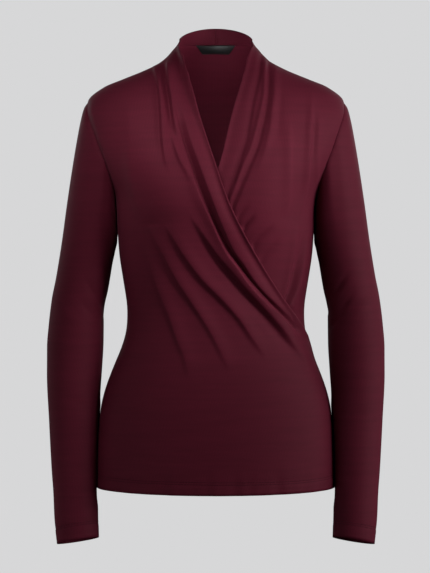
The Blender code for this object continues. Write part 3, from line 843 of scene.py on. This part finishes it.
collarLeft = clothShell("top_collar_left", makeCollar(1), jerseyCloth)
collarRight = clothShell("top_collar_right", makeCollar(-1), jerseyCloth, outward=False)
print("collar ready")


# The sleeves, as rings square to the arm

sleeves = {
    "around": 96,
    "rings": 150,
    "length": 650.0,
    "capBlend": 0.3,  # share of the length over which the armhole's outline turns into the arm's
    "underarmCurve": 2.2,  # how soon the rings turn square to the arm, and leave that again at the cuff
    "cuffCurve": 4,
    "cuffOuter": -694.0,
    "cuffInner": -684.5,
    "cuffDepth": 20.0,
    "cuffStitch": 20.5,
    "cuffProud": 0.3,
    "outer": [(-78, 179), (-86, 184), (-104, 189), (-135, 195), (-171, 201), (-221, 208.5), (-272, 215.5),
              (-322, 223.5), (-356, 230), (-389, 234), (-423, 236.5), (-456, 236.5), (-524, 233),
              (-591, 228.8), (-625, 226), (-658, 224.2), (-694, 220)],  # height, x
    "inner": [(-215, 136.5), (-245, 134), (-262, 135), (-275, 137.5), (-290, 140.8), (-305, 144.5),
              (-339, 150.5), (-372, 156.8), (-415, 157.3), (-456, 159.6), (-490, 161.5), (-514, 160.5),
              (-545, 160.5), (-590, 162.5), (-640, 163.5), (-686, 162.2)],
    "depths": [(0.0, 55, 0), (0.18, 50, 3), (0.35, 45, 6), (0.55, 42, 4), (0.72, 36, -6), (0.86, 31, -18),
               (1.0, 27, -32)],  # share of the length, half depth, middle
    "clear": 0.2,  # where the inner wall lies against the body
    "clearFrom": 4,  # the first ring that is kept clear of it
    "clearFront": 24,  # the upper front's own layer is cleared too, in full from this far forward
    "clearHem": (2, 50, 15),  # below the hem the wall comes in again: from, over, by
    "seamTuck": 1.5,  # how far its seam allowance goes in below the edge of the armhole
    "seamDip": (0.9, 0.012),  # the groove at the seam: depth, and share of the length
    "foldsFrom": 0.05,  # share of the length from which the folds are whole
    # angle from the outside round by the front, share of the length, rise, half widths across and
    # along in mm, slant
    "folds": {
        1: [(118, 0.36, -3.0, 5, 16, 0.5), (128, 0.385, 1.8, 5, 14, 0.5), (112, 0.415, -2.4, 5, 14, 0.55),
            (140, 0.45, -1.8, 5, 14, 0.4), (60, 0.44, 1.2, 9, 30, 0.3), (200, 0.40, -2.0, 6, 16, -0.4),
            (236, 0.43, 1.4, 7, 20, -0.4), (150, 0.12, -1.6, 6, 22, 0.9), (170, 0.16, 1.4, 6, 22, 0.9),
            (95, 0.70, -1.0, 7, 24, 0.3), (110, 0.86, -0.9, 5, 14, 0.2), (250, 0.80, 1.0, 7, 18, -0.3)],
        -1: [(122, 0.37, -1.8, 6, 16, 0.5), (134, 0.40, 1.2, 6, 16, 0.5), (118, 0.43, -1.4, 6, 15, 0.5),
             (60, 0.46, 1.0, 9, 30, 0.3), (205, 0.41, -2.0, 6, 16, -0.4), (238, 0.44, 1.4, 7, 20, -0.4),
             (148, 0.12, -1.8, 6, 22, 0.9), (168, 0.16, 1.4, 6, 22, 0.9), (100, 0.68, -0.9, 7, 24, 0.3),
             (108, 0.84, -0.8, 5, 14, 0.2), (248, 0.78, 1.0, 7, 18, -0.3)],
    },
    "flat": (0.34, 0.66),
    "cutArea": 0.134,
}


def armholeRing():
    # where a left sleeve is sewn in, from the shoulder tip round by the front
    turn, height = refine(armhole()[:, None].repeat(2, axis=1), (8, 1))[:, 0].T
    inFront, behind = (offForm(turn, height, side, form["wall"]) for side in (front, back))
    ring = np.concatenate([inFront, behind[::-1][1:]])
    ring[[0, len(turn) - 1, -1], 1] = 0
    return smoothCurve(np.linspace(0, 1, len(ring)), ring, np.linspace(0, 1, sleeves["around"] + 1))


def clearOfBody(rings):
    # a left sleeve's points, kept outside the body's side, which its inner wall lies against
    x, y, height = np.moveaxis(rings, -1, 0)
    depth = np.where(y < 0, section("front", height), section("back", height)) + form["wall"]
    power = section("squareness", height)
    reach = np.clip(1 - np.abs(y / depth) ** power, 0, 1) ** (1 / power)
    clear = sleeves["clear"] + overFront["layer"] * ease(-y / sleeves["clearFront"])
    start, over, by = sleeves["clearHem"]
    body = (section("halfWidth", height) + form["wall"]) * reach + clear
    body -= by * ease((form["hem"] - form["hemDip"] - start - height) / over)
    return np.stack([softMaximum(x, body, 1.5), y, height], axis=-1)


def sleeveFolds(folds, angle, share, girth):
    rise = np.zeros(np.broadcast_shapes(angle.shape, share.shape))
    for degrees, at, high, thick, long, slant in folds:
        turned = (angle / (2 * math.pi) - degrees / 360 + 0.5) % 1 - 0.5
        across, down = turned * girth, (share - at) * sleeves["length"]
        lengthwise = across * math.cos(slant) + down * math.sin(slant)
        crosswise = down * math.cos(slant) - across * math.sin(slant)
        rise += high * bell(lengthwise, long) * bell(crosswise, thick)
    return rise


def makeSleeve(side):
    piece, band = sleeves, hemBand
    angle = np.linspace(0, 2 * math.pi, piece["around"] + 1)
    share = np.linspace(0, 1, piece["rings"] + 1)[:, None]
    outerHeight = form["shoulderTip"] + (piece["cuffOuter"] - form["shoulderTip"]) * share
    belowOuter = ((form["underarm"] - form["shoulderTip"]) * (1 - share) ** piece["underarmCurve"]
                  + (piece["cuffInner"] - piece["cuffOuter"]) * share ** piece["cuffCurve"])
    outer, inner = np.array(piece["outer"], float)[::-1].T, np.array(piece["inner"], float)[::-1].T
    outerX, innerX = smoothCurve(*outer, outerHeight), smoothCurve(*inner, outerHeight + belowOuter)
    at, halfDepths, middles = np.array(piece["depths"], float).T
    halfDepth, middle = smoothCurve(at, halfDepths, share), smoothCurve(at, middles, share)
    centre = outerHeight + belowOuter / 2
    lean = np.gradient(middle[:, 0])[:, None] / np.gradient(centre[:, 0])[:, None]
    forward = halfDepth * np.sin(angle)
    x = (outerX + innerX) / 2 + (outerX - innerX) / 2 * np.cos(angle)
    height = centre - belowOuter / 2 * np.cos(angle) + forward * lean
    rings = np.stack([x, middle - forward, height], axis=-1)
    rings += (armholeRing() - rings[0]) * (1 - ease(share / piece["capBlend"]))[..., None]
    normal = unit(np.cross(np.gradient(rings, axis=0), np.gradient(rings, axis=1)))
    normal[:, 0] = normal[:, -1] = unit(normal[:, 0] + normal[:, -1])
    if (normal * (rings - rings.mean(axis=1, keepdims=True))).sum() < 0:
        normal = -normal
    rise = sleeveFolds(piece["folds"][side], angle, share, lengthsAlong(rings, 1)[:, -1:])
    toCuff = distanceDown(rings)
    rise += piece["cuffProud"] * (1 - ease((toCuff - piece["cuffDepth"]) / band["step"]))
    rise -= band["pull"] * bell(toCuff - piece["cuffStitch"], band["pullWidth"])
    dip, over = piece["seamDip"]
    rise = rise * ease(share / piece["foldsFrom"]) - dip * (1 - ease(share / over))
    rings = rings + normal * rise[..., None]
    rings[0] += piece["seamTuck"] * unit(rings[0] - rings[1])
    rings[piece["clearFrom"]:] = clearOfBody(rings[piece["clearFrom"]:])
    rings[:, -1] = rings[:, 0]
    return rings * np.array([side, 1, 1])


sleevePoints = {side: makeSleeve(side) for side in (1, -1)}
sleeveLeft = clothShell("top_sleeve_left", sleevePoints[1], jerseyCloth, outward=False, closed=True)
sleeveRight = clothShell("top_sleeve_right", sleevePoints[-1], jerseyCloth, closed=True)
print("sleeves ready")


# A plain woven label below the neck seam, with its ends folded to a mitre

label = {
    "top": 57.0,
    "bottom": 38.0,
    "drop": 11.5,
    "tuck": 0.6,  # how far below the neck seam it starts
    "columns": 48,
    "rows": 12,
    "gap": 0.5,
    "swell": 0.6,
    "wall": 0.5,
    "flat": (0.057, 0.012),
    "cutArea": 0.00065,
}


def makeLabel():
    piece = label
    across = np.linspace(-0.5, 0.5, piece["columns"] + 1)
    down = np.linspace(0, 1, piece["rows"] + 1)[:, None]
    x = across * (piece["top"] + (piece["bottom"] - piece["top"]) * down)
    seamTurn = turnAt(across * piece["top"] / section("halfWidth", form["neckSeam"]), form["neckSeam"])
    height = neckSeam(seamTurn) - piece["tuck"] - piece["drop"] * down
    turn = turnAt(x / section("halfWidth", height), height)
    swell = piece["swell"] * np.sin(down * math.pi) * (1 - (2 * across) ** 4)
    return offForm(turn, height, back, -(piece["gap"] + swell))


labelPiece = clothShell("top_label", makeLabel()[:, ::-1], labelCloth, wall=-label["wall"], outward=False)
print("label ready")


# Coverstitching at the hem and the cuffs

stitching = {
    "pitch": 4.0,  # drawn longer than the real 3 mm so that it shows
    "length": 3.1,
    "thickness": 0.55,  # drawn thicker than the real 0.3 mm thread
    "rows": [15.4, 18.6],  # above the hem's edge
    "cuffRows": [19.0, 22.0],
    "lie": 0.05,  # how far the thread lies off the cloth
}


def stitchTree():
    # threads of one length laid end to end along a line, each a short round rod
    tree = bpy.data.node_groups.new("coverstitch", "GeometryNodeTree")
    sockets = {"Geometry": "Geometry", "Pitch": "Float", "Length": "Float", "Thickness": "Float",
               "Material": "Material"}
    for name, kind in sockets.items():
        tree.interface.new_socket(name, in_out="INPUT", socket_type="NodeSocket" + kind)
    tree.interface.new_socket("Geometry", in_out="OUTPUT", socket_type="NodeSocketGeometry")
    given = addNode(tree, "NodeGroupInput")
    line = addNode(tree, "GeometryNodeMeshToCurve", {0: given.outputs["Geometry"]})
    points = addNode(tree, "GeometryNodeCurveToPoints", {
        "Curve": line.outputs["Curve"], "Length": given.outputs["Pitch"]}, mode="LENGTH")
    half, other, radius = (
        addNode(tree, "ShaderNodeMath", {0: given.outputs[name], 1: times}, operation="MULTIPLY")
        for name, times in (("Length", 0.5), ("Length", -0.5), ("Thickness", 0.5)))
    start, end = (addNode(tree, "ShaderNodeCombineXYZ", {"Z": at.outputs["Value"]}) for at in (other, half))
    rod = addNode(tree, "GeometryNodeCurvePrimitiveLine", {
        "Start": start.outputs["Vector"], "End": end.outputs["Vector"]})
    cut = addNode(tree, "GeometryNodeResampleCurve", {"Curve": rod.outputs["Curve"], "Count": 4})
    ring = addNode(tree, "GeometryNodeCurvePrimitiveCircle", {
        "Resolution": 6, "Radius": radius.outputs["Value"]})
    body = addNode(tree, "GeometryNodeCurveToMesh", {
        "Curve": cut.outputs["Curve"], "Profile Curve": ring.outputs["Curve"], "Fill Caps": True})
    laid = addNode(tree, "GeometryNodeInstanceOnPoints", {
        "Points": points.outputs["Points"], "Instance": body.outputs["Mesh"],
        "Rotation": points.outputs["Rotation"]})
    real = addNode(tree, "GeometryNodeRealizeInstances", {"Geometry": laid.outputs["Instances"]})
    coloured = addNode(tree, "GeometryNodeSetMaterial", {
        "Geometry": real.outputs["Geometry"], "Material": given.outputs["Material"]})
    addNode(tree, "NodeGroupOutput", {"Geometry": coloured.outputs["Geometry"]})
    return tree


coverstitch = stitchTree()


def sewAlong(name, lines):
    mesh = bpy.data.meshes.new(name)
    points, edges = [], []
    for line in lines:
        edges += [(len(points) + i, len(points) + i + 1) for i in range(len(line) - 1)]
        points += (np.asarray(line) * mm).tolist()
    mesh.from_pydata(points, edges, [])
    made = bpy.data.objects.new(name, mesh)
    garmentCollection.objects.link(made)
    run = made.modifiers.new("stitches", "NODES")
    run.node_group = coverstitch
    sockets = [item for item in coverstitch.interface.items_tree if item.in_out == "INPUT"]
    names = {socket.name: socket.identifier for socket in sockets}
    for size in ("pitch", "length", "thickness"):
        run[names[size.capitalize()]] = stitching[size] * mm
    run[names["Material"]] = threadCover
    return applied(made)


def outwardFrom(line, away):
    # the line moved off the cloth, away from the middle of the garment or sleeve
    centre = line.mean(axis=0)
    flatOut = unit((line - centre) * np.array([1, 1, 0]))
    return line + flatOut * away


def sewHem(name, points, side):
    off = np.array([0, side * stitching["lie"], 0])
    return sewAlong(name, [lineAbove(points, height) + off for height in stitching["rows"]])


def sewCuff(name, points):
    rows = [lineAbove(points, height) for height in stitching["cuffRows"]]
    return sewAlong(name, [outwardFrom(row, stitching["lie"]) for row in rows])


hemStitchFront = sewHem("hem_stitches_front", overPoints, front)
hemStitchBack = sewHem("hem_stitches_back", backPoints, back)
cuffStitchLeft = sewCuff("cuff_stitches_left", sleevePoints[1])
cuffStitchRight = sewCuff("cuff_stitches_right", sleevePoints[-1])
print("stitches ready")


# What each piece stands for, and the cloth that it was cut from

sheets = [
    (frontRight, "front_right", overFront, "draped", [backShell, sleeveRight], [hemStitchFront]),
    (frontLeft, "front_left", underFront, "draped", [backShell, sleeveLeft], []),
    (backShell, "back", backPanel, "hung", ["front_right", "front_left"], [hemStitchBack]),
    (collarLeft, "collar_left", collar, "hung", [backShell, collarRight], []),
    (collarRight, "collar_right", collar, "hung", [backShell, collarLeft], []),
    (sleeveLeft, "sleeve_left", sleeves, "hung", [backShell, frontLeft], [cuffStitchLeft]),
    (sleeveRight, "sleeve_right", sleeves, "hung", [backShell, frontRight], [cuffStitchRight]),
    (labelPiece, "label", label, "hung", [backShell], []),
]
for piece, node, cut, held, restsOn, sewnOn in sheets:
    for each in (piece, *sewnOn):
        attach(each, "root")
    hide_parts(node)


# A pale studio: floor, backdrop, soft lights and the camera at the photograph's angle

studio = {
    "backdrop": "d7d7d8",
    "ambient": 0.015,
    "ambientColour": "f6f7fa",
    "floorHeight": -1.35,
    "floorRadius": 5.0,
    "floorGlow": 0.5,
    "viewHeight": 0.8022,  # metres of the garment's plane from the top of the frame to the bottom
    "spotRadius": 0.08,
    "lights": [  # name, place, aimed at, watts, size in metres or, above 5, a spotlight's cone in degrees
        ("right_softbox", (2.071, -1.195, -0.091), (0, 0, -0.3), 20.5, 1.2),
        ("side_softbox", (2.391, 0, -0.091), (0, 0, -0.3), 14.0, 1.2),
        ("key_softbox", (0.895, -0.517, 0.076), (0, 0, -0.3), 1.6, 0.5),
        ("chest_softbox", (-0.35, -0.5, 0.25), (-0.08, -0.1, -0.12), 0.8, 0.3),
        ("low_softbox", (-0.45, -0.5, -0.75), (-0.15, 0, -0.5), 0.5, 0.3),
        ("right_chest_spot", (0.45, -0.65, 0.3), (0.1, -0.1, -0.14), 13.0, 20),
        ("left_chest_spot", (-0.2, -0.75, 0.3), (-0.09, -0.1, -0.14), 15.0, 21),
        ("waist_spot", (0.5, -0.65, 0.1), (0, -0.1, -0.33), 11.0, 19),
        ("neck_light", (-0.02, -0.045, -0.03), (0.012, 0.05, -0.1), 0.075, 0.05),
        ("left_softbox", (-2.391, 0, -0.091), (0, 0, -0.3), 4.0, 1.2),
        ("rim_softbox", (-2.071, 1.195, -0.091), (0, 0, -0.3), 4.0, 1.2),
        ("back_right_softbox", (1.2, 1.9, 0.6), (0, 0, -0.3), 9, 1.2),
        ("back_left_softbox", (-1.2, 1.9, 0.6), (0, 0, -0.3), 7, 1.2),
    ],
}


def makeFloor():
    # a round sheet of pale paper on the floor, lit by its own glow as the backdrop is
    material, tree = newMaterial("seamless_paper")
    shader = addNode(tree, "ShaderNodeBsdfPrincipled", {
        "Base Color": toLinear(studio["backdrop"]), "Roughness": 0.9, "Specular IOR Level": 0.2,
        "Emission Color": toLinear(studio["backdrop"]), "Emission Strength": studio["floorGlow"]})
    addNode(tree, "ShaderNodeOutputMaterial", {"Surface": shader.outputs["BSDF"]})
    radius, height = studio["floorRadius"], studio["floorHeight"]
    around = np.linspace(0, 2 * math.pi, 97)[:-1]
    rim = [(radius * math.cos(angle), radius * math.sin(angle), height) for angle in around]
    mesh = bpy.data.meshes.new("paper_floor")
    mesh.from_pydata(rim, [], [range(len(rim))])
    mesh.materials.append(material)
    floor = bpy.data.objects.new("paper_floor", mesh)
    bpy.context.scene.collection.objects.link(floor)
    floor.visible_diffuse = floor.visible_glossy = False  # its glow doesn't light the cloth from below


def aimed(made, place, target):
    made.location = place
    away = Vector(target) - Vector(place)
    made.rotation_euler = away.to_track_quat("-Z", "Y").to_euler()
    bpy.context.scene.collection.objects.link(made)
    return made


makeFloor()
for name, place, aim, watts, size in studio["lights"]:
    lamp = bpy.data.lights.new(name, "SPOT" if size > 5 else "AREA")
    lamp.energy = watts
    if lamp.type == "SPOT":
        lamp.spot_size, lamp.spot_blend, lamp.shadow_soft_size = math.radians(size), 1, studio["spotRadius"]
    else:
        lamp.size = size
    aimed(bpy.data.objects.new(name, lamp), place, aim).visible_camera = False

world = bpy.data.worlds.new("studio")
bpy.context.scene.world = world
world.use_nodes = True
sky = world.node_tree
sky.nodes.clear()
seen = addNode(sky, "ShaderNodeLightPath")
backdrop = addNode(sky, "ShaderNodeBackground", {"Color": toLinear(studio["backdrop"])})
surround = addNode(sky, "ShaderNodeBackground", {
    "Color": toLinear(studio["ambientColour"]), "Strength": studio["ambient"]})
either = addNode(sky, "ShaderNodeMixShader", {
    0: seen.outputs["Is Camera Ray"], 1: surround.outputs["Background"], 2: backdrop.outputs["Background"]})
addNode(sky, "ShaderNodeOutputWorld", {"Surface": either.outputs["Shader"]})
bpy.context.scene.view_settings.view_transform = "Standard"

lens = bpy.data.cameras.new("camera")
lens.sensor_width = 36
lens.lens = lens.sensor_width * view["distance"] * mm / studio["viewHeight"]
lens.clip_end = 50
eye = (view["x"] * mm, -view["distance"] * mm, view["height"] * mm)
bpy.context.scene.camera = aimed(bpy.data.objects.new("camera", lens), eye, (eye[0], 0, eye[2]))
print("studio ready")
